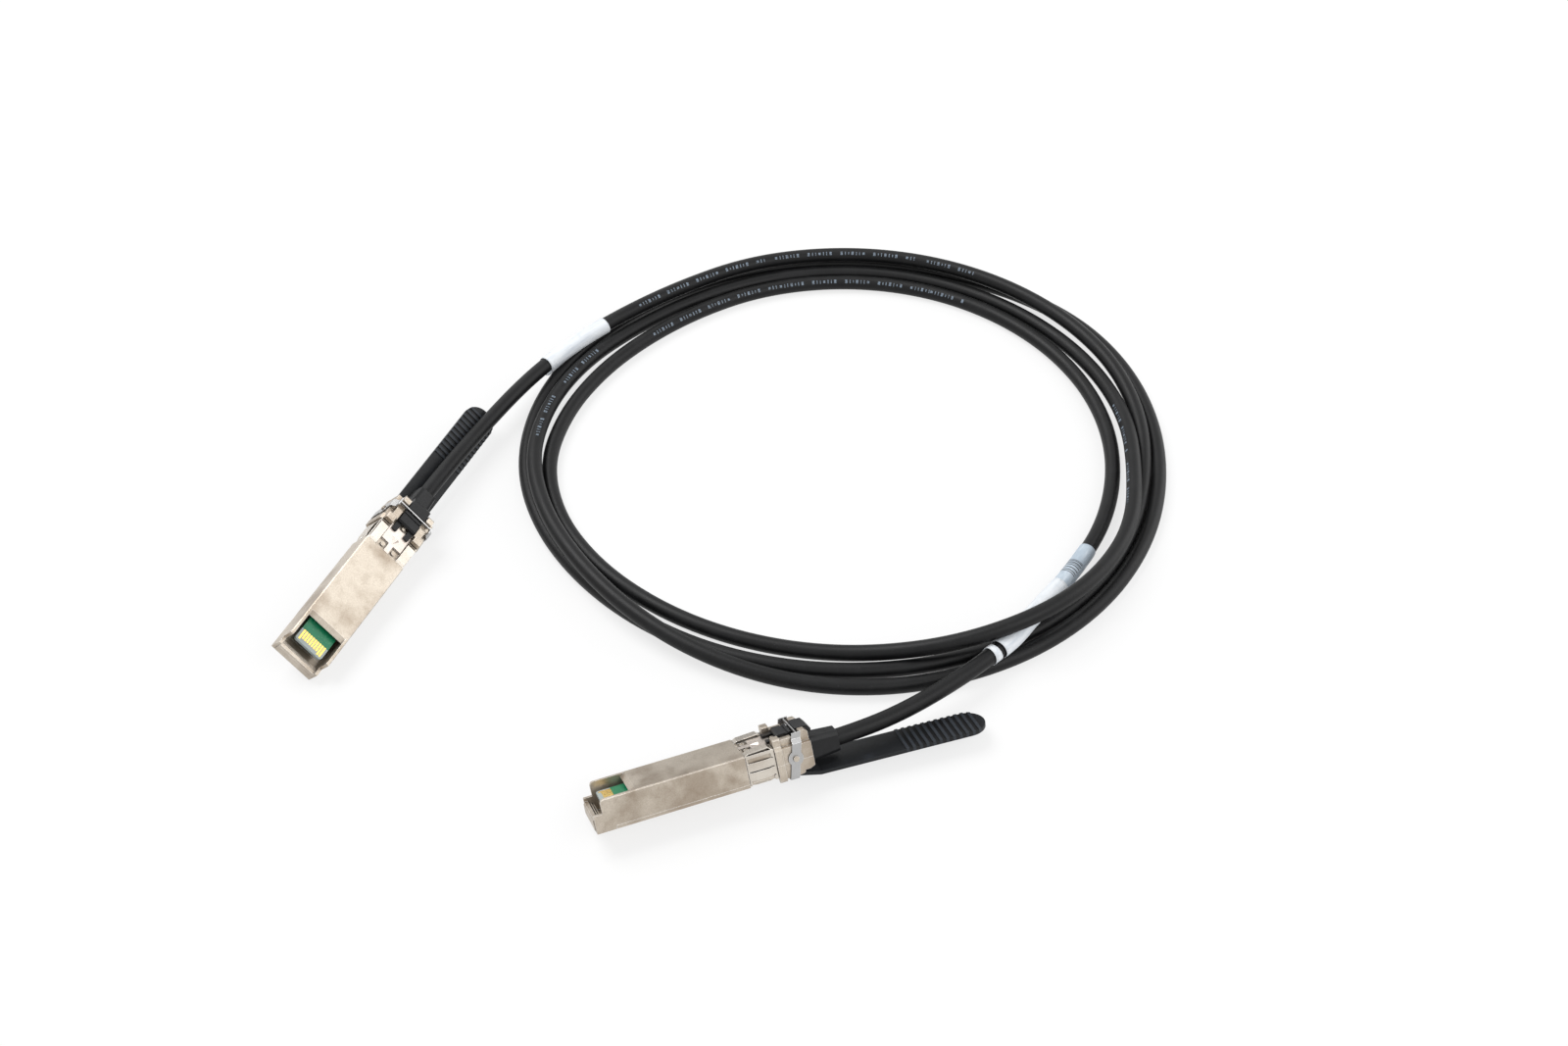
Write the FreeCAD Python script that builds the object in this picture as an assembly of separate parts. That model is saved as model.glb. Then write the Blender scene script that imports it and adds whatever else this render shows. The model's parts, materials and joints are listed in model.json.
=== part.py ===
"""Direct attach copper cable: two small form-factor plugs joined by one coiled cable.

Each plug is drawn once in its own frame (x from the nose to the rear, y to the left,
z up to the latch face, origin at the nose's bottom centre) and is then laid on the
surface beside the coil.  All sizes are in millimetres.
"""
import FreeCAD, Part
import math
import os

V = FreeCAD.Vector
ALONG, ACROSS, UP = V(1, 0, 0), V(0, 1, 0), V(0, 0, 1)

# ---- plug envelope ---------------------------------------------------------------
PLUG_W = 13.6            # width of the die-cast body
PLUG_H = 8.5             # height of the die-cast body
BODY_L = 39.7            # nose to the spring collar
STOP_X = 47.4            # front face of the flange, the plug's insertion stop
FLANGE_T = 1.9           # flange thickness
FLANGE_OUT = 0.3         # the flange stands this far out of the body's sides
EAR_UP = 1.75            # height of the flange's ears over the latch face
EAR_IN = 0.4             # the ears' outer faces are this far inside the body's sides
EAR_W = 2.7              # width of an ear
EAR_CORNER = 0.25        # the corners cut off an ear's top
SHOULDER_UP = (-1.1, -0.3)   # where the flange steps in to its ears, over the latch face
FOOT_DOWN = 1.25         # drop of the flange's feet below the bottom face
REAR_X = 57.0            # rear face of the block that clamps the cable
REAR_IN = 0.1            # the block's sides are this far inside the body's sides
WALL = 0.9               # casting wall
LID_T = 0.9              # thickness of the bottom cover
LID_FRONT_X = 5.0        # front edge of the bottom cover
SKIRT_DOWN = (0.55, 0.3) # drop of the cover's rear skirts, at their front and rear
SKIRT_BEVEL = 0.2        # length of the bevel at their rear
UNDERCUT_UP = 0.4        # the cover is undercut so far where the strap swings
UNDERCUT_END = (1.3, 1.0)    # length and height of the slope at its rear
COLLAR_STEP = 0.45       # the castings are this much slimmer under the spring collar
EDGE_CHAMFER = 0.22      # on the body's long top edges
FIT = 0.05               # clearance of pieces that sit in one another
OVER = 1.0               # solids that only cut reach this far past what they cut
CORNER_SHARE = 0.3       # a corner cut twice has its middle point this share of the cut in
LAP = 0.1                # pieces of one solid are drawn this far into one another
SIDE_Y = PLUG_W / 2
REAR_Y = SIDE_Y - REAR_IN
CORE_Z = PLUG_H - COLLAR_STEP

# ---- nose ------------------------------------------------------------------------
NOSE_STEP_X = 2.3        # the side walls are low in front of this
NOSE_STEP_Z = 4.8        # height of the low side walls
NOSE_CORNER = 1.0        # the corner cut off the walls' front top ends
LIP_T = 0.95             # thickness of the lip under the card
LIP_Z = 3.9              # height of that lip
LIP_OUT = 0.3            # the lip stands this far out of the nose
LIP_FOOT_Z = 0.3         # bottom of the lip
LIP_BEVELS = (0.6, 0.5)  # height of the bevels at the lip's foot and top
RIB_STEPS = ((1.35, 3.3), (2.0, 2.8))   # front face and height of each step behind the lip
RIB_STEP_T = 0.3         # thickness of those steps
OPENING_X = 11.6         # rear edge of the latch-face opening, at the face
OPENING_BEVEL = 1.4      # length of the bevel down from that edge

# ---- card ------------------------------------------------------------------------
CARD_X = 3.2             # front edge of the card, behind the nose
CARD_L = 28.8
CARD_W = 9.2
CARD_T = 1.0
CARD_DOWN = 3.25         # underside of the card below the latch face
CARD_CORNER = 0.5
PAD_COUNT = 10
PAD_PITCH = 0.8
PAD_W = 0.55
PAD_T = 0.06
PAD_REAR_X = 6.85        # rear end of every contact pad
PAD_LONG_X = 3.7         # front end of the pads that mate first
PAD_SHORT_X = 4.3        # front end of the others
LONG_PADS = (0, 1, 9)    # counted from the right
CHIP_SIZE = (4.0, 3.0, 0.9)
CHIP_X = 18.0
PAIR_W = 1.6             # a shielded pair of wires, across its flats
PAIR_Y = 1.0
PAIR_OVERLAP = 2.0       # length of a pair soldered under the card
PAIR_LEVEL_X = 40.0      # the pairs have come down to the cable's axis here
PAIR_GAP = 0.3           # room round the pairs in the castings
LEDGE_X = (14.0, 28.0)   # the ledges that carry the card's edges
LEDGE_UNDER = 0.6        # the ledges reach this far under the card
CARD_Z = PLUG_H - CARD_DOWN

# ---- release mechanism -----------------------------------------------------------
CHEEK_Y = (3.3, 5.3)     # inner and outer faces of the cheeks
LEDGE_DOWN = 1.0         # the block's outer ledge below the latch face
FRONT_CHEEK_X = 52.8     # rear face of the front cheeks
FRONT_CHEEK_UP = 0.85    # top of the front cheeks over the latch face
REAR_CHEEK_X = 54.7      # front face of the rear cheeks
REAR_CHEEK_UP = 1.9
CHEEK_CORNER = 0.7       # the corner cut off the rear cheeks
CHEEK_BEVELS = (0.2, 0.3)    # length and height of the bevels where the bail's bar passes
PIN_X = 52.4
PIN_Z = 4.2
PIN_R = 0.75
PIN_OUT = 0.85           # the pins stand this far out of the block
SHEET_T = 0.3            # sheet of the bail
ARM_GAP = 0.15           # gap between the block and the bail's arms
EYE_R = 1.95
BAR_X = 53.9             # the bar that drives the slider
BAR_UP = (1.1, 2.0)      # bottom and top of the bar over the latch face
UPPER_ARM_GAP = 0.4      # gap between the cheeks and the arms' upper legs
BEND_UP = (-0.5, 0.4)    # where the arms step inwards, over the latch face
FOOT_Z = -1.0            # middle of the bail's bottom strip
FOOT_X = 51.2
FOOT_W = 2.4
TAB_GAP = 0.3            # gap between the strap's sides and the bail's tabs
CROSS_W = 0.9            # the narrow stretch that the strap's eye holds
SLIDER_W = 5.9
SLIDER_FRONT_X = 49.4
SLIDER_END_X = 58.5
SLIDER_UP = 1.9          # top of the slider over the latch face
SLIDER_LOW_UP = 1.5      # its top in front of the bar
SLIDER_GROOVE = 0.95     # width of the groove that holds the bar
FINGER_GROOVE = (52.0, 52.6, 0.25)   # a shallow groove across it: start, end, depth
SLIDER_TRAVEL = 1.5
BAR_UNDER = 0.3          # the groove goes this far below the bar
TRAVEL_SPARE = 0.3       # travel the slider could still make before it meets the plate
SLIDER_FRONT_CUT = 0.5   # the corner cut off its top front edge
SLIDER_REAR_CUT = (0.9, 1.1)   # length and height cut off its top rear corner
SLIDER_TAIL_CUT = (0.5, 0.6)   # and off its bottom rear corner
SLIDE_GAP = 0.15         # gap under the slider
PRONG_X = 46.7
PRONG_Y = (1.35, 2.95)
PRONG_H = 0.5

# ---- cable and what holds it -----------------------------------------------------
CABLE_D = 4.5
SPLIT_Z = 3.4            # where the two castings meet
CABLE_Z = SPLIT_Z        # height of the cable's axis in the plug
CRIMP_X = 45.0
CRIMP_L = 9.0
CRIMP_W = 5.6            # the hexagonal crimp ring, across its flats
CRIMP_WALL = 0.4
BOOT_X = 54.2            # front end of the strain relief, inside the block
BOOT_END_X = 65.2
BOOT_NECK_WALL = 0.65    # wall of the hexagonal neck inside the block, at its flats
BOOT_WALL = ((0.95, 1.2), (0.5, 0.65))   # wall beside and over the cable, front and rear
BOOT_CORNER = 1.1        # the corners cut off the strain relief

# ---- spring collar ---------------------------------------------------------------
COLLAR_T = 0.2
COLLAR_GAP = 0.15        # gap between the collar and its two neighbours
FINGER_BULGE = 0.35      # how far a side finger stands out
FINGER_RAMP = 1.8        # length of a finger's front ramp
COMB_L = 0.9             # strip at the collar's rear, with a notch beside each finger
COMB_NOTCH = 0.4
FRAME_L = 0.45           # plain strip at its front
SIDE_FINGERS = ((1.5, 3.7), (4.05, 6.2))   # bottom and top of each side finger
CORNER_STRIP = 0.6       # height of the strip along the collar's top corner
TOP_FINGER_Y = 3.75      # inner edge of a latch-face finger
TOP_FINGER_SIDE = 0.45   # its outer edge, inside the body's side
TOP_FINGER_RISE = 0.75   # height of that finger over the casting
TOP_FINGER_RAMP = 1.0    # length of its front ramp
TOP_FINGER_SAG = 0.25    # the front end of its crest is this much lower than the rear end
TOP_FINGER_TOE = (0.4, 0.3)  # its rear end's length in the pocket, below and above
BOTTOM_FINGERS = ((-5.6, -2.1), (-1.75, 1.75), (2.1, 5.6))
POCKET_DEPTH = 0.35      # pockets round the stakes and in front of the ears
POCKET_L = 1.3           # length of the pocket in front of an ear

# ---- latch plate -----------------------------------------------------------------
PLATE_T = 0.3
PLATE_X = (42.7, 48.3)
PLATE_W = 7.0
PLATE_NECK_W = 1.6
STAKE_R = 0.65
STAKE_X = 41.3
STAKE_Y = 2.0
STAKE_OUT = 0.2          # a stake stands this far over the casting
BOSS_X = 45.05           # the shoulder that the cage's spring catches
BOSS_W = 2.6
BOSS_L = 2.1
BOSS_H = 0.4
BOSS_TOP_W = 1.3         # width of the flat top behind the boss's slopes
PEG_X = 48.9
PEG_R = 0.5
PEG_H = 0.75
PEG_GAP = 0.25           # room beside the peg in the plate's notch and the slider's slot
PEG_OVER = 0.2           # room over and behind it in the slot

# ---- pull strap ------------------------------------------------------------------
STRAP_W = 10.0
STRAP_T = 1.0
STRAP_END_X = 104.5
STRAP_HEAD_L = 1.6       # from the bail's bottom strip to the rear of the strap's head
STRAP_HEAD_T = 1.65
STRAP_EYE_GAP = 0.15     # room round the bail's strip in the strap's eye
STRAP_FOOT_GAP = 0.4     # room beside the strap, between the flange's feet
STRAP_BEND_L = 6.0       # stretch behind the head in which the strap may twist
RIB_COUNT = 12
RIB_PITCH = 1.8
RIB_W = 0.9
RIB_H = 0.25
RIB_FRONT_X = 81.5

# ---- how the two plugs lie: place of the nose, yaw, rise of the rear and roll -----
PLUGS = {
    "a": {"nose": (-89.2, -19.7), "yaw": 66.0, "rise": 1.2, "roll": 44.7,
          "strap_twist": 0.0, "strap_yaw": 0.0, "strap_droop": 0.0, "strap_drop": 0.0},
    "b": {"nose": (-5.8, -71.0), "yaw": 20.1, "rise": 0.8, "roll": -31.3,
          "strap_twist": 10.0, "strap_yaw": -2.4, "strap_droop": 1.8, "strap_drop": 0.6},
}

# ---- the cable's route -----------------------------------------------------------
EXIT_A_X = 73.0          # plug A's cable is straight to here, in the plug's frame
EXIT_B_X = 69.5
ROUTE_A = [(-48.4, 66.4, 7.5), (-35.6, 90.8, 6.9), (-22.7, 107.6, 6.7),
           (-8.2, 121.6, 6.6), (8.6, 134.3, 6.6)]
ROUTE_B = [(73.1, -37.6, 7.2), (87.6, -27.0, 7.2), (100.1, -15.6, 6.6), (109.1, -0.6, 2.9)]
COIL_CENTRE = (58.2, 65.3)
COIL_H = 9.0
COIL_OUTER_R = 94.0      # the outermost strand's outer side
COIL_OUTER_SHIFT = (1.0, -0.3)
COIL_INNER_R = (79.0, 75.0)
COIL_INNER_SHIFT = (2.4, -0.9)
LABEL_T = 0.25           # a wrapped label's thickness
LABEL_L = {"a": 26.0, "b": 20.0}
LABEL_ARC = {"a": 7, "b": 7}   # the bend of the tail that each label is wrapped round


def box(x0, x1, y0, y1, z0, z1):
    return Part.makeBox(x1 - x0, y1 - y0, z1 - z0, V(x0, y0, z0))


def band(x0, x1, width, z0, z1):
    """A box as wide as given, centred on the plug's middle plane."""
    return box(x0, x1, -width / 2, width / 2, z0, z1)


def both_sides(shape):
    """The shape and its mirror image on the plug's other side."""
    return [shape, shape.mirror(V(0, 0, 0), ACROSS)]


def prism(points, along):
    return Part.Face(Part.makePolygon(points + points[:1])).extrude(along)


def side_prism(points, y0, y1):
    """A solid whose side view is the given (x, z) outline."""
    return prism([V(x, y0, z) for x, z in points], V(0, y1 - y0, 0))


def front_prism(points, x0, x1):
    """A solid whose front view is the given (y, z) outline."""
    return prism([V(x0, y, z) for y, z in points], V(x1 - x0, 0, 0))


def top_prism(points, z0, z1):
    """A solid whose top view is the given (x, y) outline."""
    return prism([V(x, y, z0) for x, y in points], V(0, 0, z1 - z0))


def rod(x0, x1, radius):
    return Part.makeCylinder(radius, x1 - x0, V(x0, 0, CABLE_Z), ALONG)


def joined(shapes):
    return shapes[0].multiFuse(shapes[1:]).removeSplitter() if len(shapes) > 1 else shapes[0]


def hex_rod(x0, x1, across, y=0.0, z=CABLE_Z):
    """A hexagonal rod along the plug with two corners level with its axis."""
    corner = across / math.sqrt(3)
    turns = [math.radians(60 * i) for i in range(6)]
    return front_prism([(y + corner * math.cos(t), z + corner * math.sin(t)) for t in turns], x0, x1)


# ---- castings --------------------------------------------------------------------
def cable_bore():
    """The space that the crimp ring and the strain relief's neck take in both castings."""
    ring = hex_rod(CRIMP_X - FIT, CRIMP_X + CRIMP_L + FIT, CRIMP_W + 2 * FIT)
    neck = hex_rod(CRIMP_X + CRIMP_L, REAR_X + OVER, CABLE_D + 2 * (BOOT_NECK_WALL + FIT))
    return ring.fuse(neck)


def flange(upper):
    """Half of the flange: ears above the latch face, or feet below the bottom."""
    side = SIDE_Y + FLANGE_OUT
    if upper:
        top = PLUG_H + EAR_UP
        ear = SIDE_Y - EAR_IN
        corner = EAR_CORNER
        half = [(side, SPLIT_Z), (side, PLUG_H + SHOULDER_UP[0]), (ear, PLUG_H + SHOULDER_UP[1]),
                (ear, top - corner),
                (ear - corner, top), (ear - EAR_W + corner, top), (ear - EAR_W, top - corner),
                (ear - EAR_W, CORE_Z)]
    else:
        inner = STRAP_W / 2 + STRAP_FOOT_GAP
        corner = (side - inner) / 3
        half = [(side, SPLIT_Z), (side, corner - FOOT_DOWN), (side - corner, -FOOT_DOWN),
                (inner + corner, -FOOT_DOWN), (inner, corner - FOOT_DOWN), (inner, 0.0)]
    return front_prism(half + [(-y, z) for y, z in reversed(half)], STOP_X, STOP_X + FLANGE_T)


def nose_opening():
    """The cut through the latch face that bares the card's contacts."""
    slope = WALL / OPENING_BEVEL
    foot = OPENING_X - OPENING_BEVEL
    outline = [(-OVER, CARD_Z), (foot, CARD_Z), (foot, PLUG_H - WALL),
               (OPENING_X + OVER / slope, PLUG_H + OVER), (-OVER, PLUG_H + OVER)]
    return side_prism(outline, WALL - SIDE_Y, SIDE_Y - WALL)


def body_shell():
    """The body in front of the collar, solid, with its long top edges cut off."""
    inner = NOSE_CORNER * CORNER_SHARE
    side_view = [(0, 0), (LID_FRONT_X, 0), (LID_FRONT_X, LID_T), (BODY_L, LID_T), (BODY_L, PLUG_H),
                 (NOSE_STEP_X + NOSE_CORNER, PLUG_H), (NOSE_STEP_X + inner, PLUG_H - inner),
                 (NOSE_STEP_X, PLUG_H - NOSE_CORNER), (NOSE_STEP_X, NOSE_STEP_Z), (0, NOSE_STEP_Z)]
    edge = SIDE_Y - EDGE_CHAMFER
    half = [(SIDE_Y, 0), (SIDE_Y, PLUG_H - EDGE_CHAMFER), (edge, PLUG_H)]
    front_view = front_prism(half + [(-y, z) for y, z in reversed(half)], 0, BODY_L)
    return side_prism(side_view, -SIDE_Y, SIDE_Y).common(front_view)


def cheeks():
    """The walls beside the slider: a low pair in front of the bail's bar, a high pair behind."""
    rear_x = STOP_X + FLANGE_T
    low = PLUG_H + FRONT_CHEEK_UP
    high = PLUG_H + REAR_CHEEK_UP
    length, height = CHEEK_BEVELS
    front = [(rear_x, CORE_Z), (rear_x, low), (FRONT_CHEEK_X - length, low),
             (FRONT_CHEEK_X, low - height), (FRONT_CHEEK_X, CORE_Z)]
    rear = [(REAR_CHEEK_X, CORE_Z), (REAR_CHEEK_X, high - height), (REAR_CHEEK_X + length, high),
            (REAR_X - CHEEK_CORNER, high), (REAR_X, high - CHEEK_CORNER), (REAR_X, CORE_Z)]
    return both_sides(side_prism(front, *CHEEK_Y)) + both_sides(side_prism(rear, *CHEEK_Y))


def housing():
    """The main casting: walls, latch face, flange's upper half, cheeks and bail pins."""
    inside_w = PLUG_W - 2 * WALL
    rear_x = STOP_X + FLANGE_T
    lip = side_prism([(0, LIP_FOOT_Z), (-LIP_OUT, LIP_FOOT_Z + LIP_BEVELS[0]),
                      (-LIP_OUT, LIP_Z - LIP_BEVELS[1]), (LAP, LIP_Z), (LIP_T, LIP_Z),
                      (LIP_T, LIP_FOOT_Z)], -inside_w / 2, inside_w / 2)
    ledge_z = PLUG_H - LEDGE_DOWN
    pocket_z = CORE_Z - POCKET_DEPTH
    pin = Part.makeCylinder(PIN_R, PIN_OUT + OVER, V(PIN_X, REAR_Y - OVER, PIN_Z), ACROSS)
    solid = joined([body_shell(), lip, band(BODY_L, STOP_X, PLUG_W - 2 * COLLAR_STEP, LID_T, CORE_Z),
                    flange(True), band(rear_x, REAR_X, 2 * REAR_Y, SPLIT_Z, ledge_z),
                    band(rear_x, REAR_X, 2 * CHEEK_Y[1], ledge_z, CORE_Z)]
                   + cheeks() + both_sides(pin))
    cavity_end = BODY_L + COLLAR_STEP
    pocket_x = STOP_X - POCKET_L
    finger_y = SIDE_Y - TOP_FINGER_SIDE
    cuts = [band(LIP_T, LID_FRONT_X, inside_w, LID_T, PLUG_H - WALL),
            band(LID_FRONT_X - OVER, cavity_end, inside_w, LID_T, PLUG_H - WALL),
            band(-OVER, LIP_T, inside_w, LIP_Z, PLUG_H + OVER),
            nose_opening(),
            band(cavity_end - OVER, CRIMP_X + OVER, 2 * PAIR_Y + PAIR_W + 2 * PAIR_GAP, LID_T, CARD_Z),
            cable_bore()]
    cuts += both_sides(box(BODY_L + COLLAR_GAP + FRAME_L, PLATE_X[0], PLATE_NECK_W / 2, PLATE_W / 2,
                           pocket_z, CORE_Z + OVER))
    cuts += both_sides(box(pocket_x, STOP_X, TOP_FINGER_Y, finger_y, pocket_z, CORE_Z + OVER))
    solid = solid.cut(cuts[0].multiFuse(cuts[1:]))
    ledge_y = CARD_W / 2 - LEDGE_UNDER
    ledges = both_sides(box(LEDGE_X[0], LEDGE_X[1], ledge_y, inside_w / 2 + LAP, LID_T, CARD_Z))
    steps = [band(x, x + RIB_STEP_T, inside_w + 2 * LAP, LID_T - LAP, z) for x, z in RIB_STEPS]
    stake = Part.makeCylinder(STAKE_R, POCKET_DEPTH + STAKE_OUT, V(STAKE_X, STAKE_Y, pocket_z), UP)
    peg = Part.makeCylinder(PEG_R, PEG_H, V(PEG_X, 0, CORE_Z), UP)
    return joined([solid, peg] + ledges + steps + both_sides(stake))


def lid():
    """The bottom casting: a plate that rises at the rear to clamp the cable."""
    rear_x = STOP_X + FLANGE_T
    skirt_y = STRAP_W / 2 + STRAP_FOOT_GAP + LAP
    notch_x = FRONT_CHEEK_X + SLIDER_TRAVEL
    skirt = side_prism([(rear_x, 0), (rear_x, -SKIRT_DOWN[0]), (FRONT_CHEEK_X, -SKIRT_DOWN[0]),
                        (notch_x - SKIRT_BEVEL, -SKIRT_DOWN[1]), (notch_x, 0)], skirt_y, REAR_Y)
    clamp = side_prism([(rear_x, 0), (notch_x, 0), (notch_x, UNDERCUT_UP),
                        (REAR_X - UNDERCUT_END[0], UNDERCUT_UP), (REAR_X, UNDERCUT_END[1]),
                        (REAR_X, SPLIT_Z), (rear_x, SPLIT_Z)], -REAR_Y, REAR_Y)
    solid = joined([band(LID_FRONT_X + FIT, BODY_L, PLUG_W, 0, LID_T),
                    band(BODY_L, STOP_X, PLUG_W - 2 * COLLAR_STEP, COLLAR_STEP, LID_T),
                    flange(False), clamp] + both_sides(skirt))
    pin_room = Part.makeCylinder(PIN_R + FIT, 2 * OVER, V(PIN_X, REAR_Y - OVER - FIT, PIN_Z), ACROSS)
    return solid.cut([cable_bore()] + both_sides(pin_room))


# ---- spring collar ---------------------------------------------------------------
def top_finger(x0, x1, z):
    """A latch-face finger: up a short ramp, along, and down into the pocket before the ear."""
    crest = z + TOP_FINGER_RISE
    drop_x = x1 - POCKET_L
    front = crest - TOP_FINGER_SAG
    toe = TOP_FINGER_TOE
    lower = [(x0, z), (x0 + TOP_FINGER_RAMP, front), (drop_x, crest), (x1 - toe[0], z)]
    upper = [(x1, z), (x1, z + COLLAR_T), (x1 - toe[1], z + COLLAR_T),
             (drop_x + COLLAR_T / 2, crest + COLLAR_T),
             (x0 + TOP_FINGER_RAMP - COLLAR_T / 2, front + COLLAR_T), (x0, z + COLLAR_T)]
    return side_prism(lower + upper, TOP_FINGER_Y, SIDE_Y - TOP_FINGER_SIDE)


def collar():
    """The sheet collar that grounds the plug in its cage, with sprung fingers on each face."""
    x0 = BODY_L + COLLAR_GAP
    x1 = STOP_X - COLLAR_GAP
    half = SIDE_Y - COLLAR_STEP + FIT
    outer = half + COLLAR_T
    z0 = COLLAR_STEP - FIT

    def hoop(start, end):
        ring = band(start, end, 2 * outer, z0 - COLLAR_T, CORE_Z + COLLAR_T)
        ring = ring.cut(band(start - OVER, end + OVER, 2 * half, z0, CORE_Z))
        return ring.cut(band(start - OVER, end + OVER, 2 * TOP_FINGER_Y, CORE_Z - LAP, CORE_Z + OVER))

    shapes = [hoop(x0, x0 + FRAME_L), hoop(x1 - COMB_L, x1)]
    crest = half + FINGER_BULGE
    bow = [(x0, half), (x0 + FINGER_RAMP, crest), (x1 - FINGER_RAMP, crest), (x1 - COMB_L, half),
           (x1 - COMB_L, outer), (x1 - FINGER_RAMP, crest + COLLAR_T),
           (x0 + FINGER_RAMP, crest + COLLAR_T), (x0, outer)]
    for low, high in SIDE_FINGERS:
        shapes += both_sides(top_prism(bow, low, high))
    shapes += both_sides(box(x0, x1, half, outer, CORE_Z - CORNER_STRIP, CORE_Z + COLLAR_T))
    shapes += both_sides(top_finger(x0, x1, CORE_Z))
    dip = [(x, z0 - (y - half)) for x, y in bow]
    for y0, y1 in BOTTOM_FINGERS:
        shapes.append(side_prism(dip, y0, y1))
    low, high = SIDE_FINGERS
    notches = []
    for z in (low[0], (low[1] + high[0]) / 2, high[1]):
        notches += both_sides(box(x1 - COMB_L - LAP, x1 - COMB_L + COMB_NOTCH, half - LAP, outer + LAP,
                                  z - COMB_NOTCH / 2, z + COMB_NOTCH / 2))
    return joined(shapes).cut(notches)


# ---- latch plate -----------------------------------------------------------------
def latch_plate():
    """The sheet that carries the boss which the cage's spring catches."""
    z0 = CORE_Z
    z1 = z0 + PLATE_T
    plate = band(PLATE_X[0], PLATE_X[1], PLATE_W, z0, z1)
    neck = band(BODY_L + COLLAR_GAP, PLATE_X[0], PLATE_NECK_W, z0, z1)
    apex_x = BOSS_X - BOSS_L
    points = [V(apex_x, 0, z1), V(BOSS_X, -BOSS_W / 2, z1), V(BOSS_X, BOSS_W / 2, z1)]
    left = V(BOSS_X, BOSS_TOP_W / 2, z1 + BOSS_H)
    right = V(BOSS_X, -BOSS_TOP_W / 2, z1 + BOSS_H)
    faces = [points, [points[0], points[1], right], [points[0], left, points[2]],
             [points[0], right, left], [points[1], points[2], left, right]]
    shell = Part.makeShell([Part.Face(Part.makePolygon(f + f[:1])) for f in faces])
    boss = Part.makeSolid(shell)
    notch = band(PEG_X - PEG_R - PEG_GAP, PLATE_X[1] + OVER, 2 * (PEG_R + PEG_GAP), z0 - OVER, z1 + OVER)
    return joined([plate, neck, boss]).cut(notch)


# ---- release mechanism -----------------------------------------------------------
def slider():
    """The plastic slider: two prongs beside the boss, driven by the bail's bar."""
    bottom = CORE_Z + SLIDE_GAP
    over_plate = bottom + PLATE_T
    top = PLUG_H + SLIDER_UP
    low_top = PLUG_H + SLIDER_LOW_UP
    groove_z = PLUG_H + BAR_UP[0] - BAR_UNDER
    groove = FINGER_GROOVE
    groove_x = BAR_X - SLIDER_GROOVE / 2
    step_x = SLIDER_FRONT_X + SLIDER_TRAVEL + TRAVEL_SPARE
    rear_x = groove_x + SLIDER_GROOVE
    side_view = [(SLIDER_FRONT_X, over_plate), (step_x, over_plate), (step_x, bottom),
                 (SLIDER_END_X - SLIDER_TAIL_CUT[0], bottom), (SLIDER_END_X, bottom + SLIDER_TAIL_CUT[1]),
                 (SLIDER_END_X, top - SLIDER_REAR_CUT[1]), (SLIDER_END_X - SLIDER_REAR_CUT[0], top),
                 (rear_x, top), (rear_x, groove_z), (groove_x, groove_z),
                 (groove_x, low_top), (groove[1], low_top), (groove[1], low_top - groove[2]),
                 (groove[0], low_top - groove[2]), (groove[0], low_top),
                 (SLIDER_FRONT_X + SLIDER_FRONT_CUT, low_top),
                 (SLIDER_FRONT_X, low_top - SLIDER_FRONT_CUT)]
    body = side_prism(side_view, -SLIDER_W / 2, SLIDER_W / 2)
    prong = box(PRONG_X, SLIDER_FRONT_X + LAP, PRONG_Y[0], PRONG_Y[1], over_plate, over_plate + PRONG_H)
    slot = band(SLIDER_FRONT_X - OVER, PEG_X + PEG_R + SLIDER_TRAVEL + PEG_OVER, 2 * (PEG_R + PEG_GAP),
                bottom - OVER, CORE_Z + PEG_H + PEG_OVER)
    return joined([body] + both_sides(prong)).cut(slot)


def bail():
    """The folded sheet bail: side arms on the pins, top bar and bottom strip."""
    outer = REAR_Y + ARM_GAP
    inner = CHEEK_Y[1] + UPPER_ARM_GAP
    bottom = FOOT_Z - SHEET_T / 2
    top = PLUG_H + BAR_UP[1]
    bend = [PLUG_H + up for up in BEND_UP]
    front_view = [(outer, bottom), (outer, bend[0]), (inner, bend[1]), (inner, top),
                  (inner + SHEET_T, top), (inner + SHEET_T, bend[1] + SHEET_T / 3),
                  (outer + SHEET_T, bend[0] + SHEET_T / 3), (outer + SHEET_T, bottom + 2 * SHEET_T)]
    sheet = front_prism(front_view, FOOT_X - FOOT_W, BAR_X + FOOT_W)
    lean = (BAR_X - FOOT_X) / (top - bottom)

    def at(z, side):
        """The arm's front (-1) or rear (1) edge at a height."""
        return (FOOT_X + lean * (z - bottom) + side * FOOT_W / 2, z)

    outline = side_prism([at(bottom, -1), at(bottom, 1), at(top, 1), at(top, -1)], 0, PLUG_W)
    eye = Part.makeCylinder(EYE_R, PLUG_W, V(PIN_X, 0, PIN_Z), ACROSS)
    hole = Part.makeCylinder(PIN_R + FIT, PLUG_W, V(PIN_X, 0, PIN_Z), ACROSS)
    arm = sheet.common(outline.fuse(eye)).cut(hole)
    bar = band(BAR_X - SHEET_T / 2, BAR_X + SHEET_T / 2, 2 * (inner + LAP), PLUG_H + BAR_UP[0], top)
    foot = band(FOOT_X - CROSS_W / 2, FOOT_X + CROSS_W / 2, 2 * (outer + LAP), bottom, bottom + SHEET_T)
    tab = box(FOOT_X - FOOT_W / 2, FOOT_X + FOOT_W / 2, STRAP_W / 2 + TAB_GAP, outer + LAP,
              bottom, bottom + SHEET_T)
    return joined(both_sides(arm) + [bar, foot] + both_sides(tab))


def section(x, z):
    """A rectangular wire across the strap, centred at a height."""
    half_w, half_t = STRAP_W / 2, STRAP_T / 2
    points = [V(x, y, z + dz) for y, dz in
              ((-half_w, -half_t), (half_w, -half_t), (half_w, half_t), (-half_w, half_t))]
    return Part.makePolygon(points + points[:1])


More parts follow.
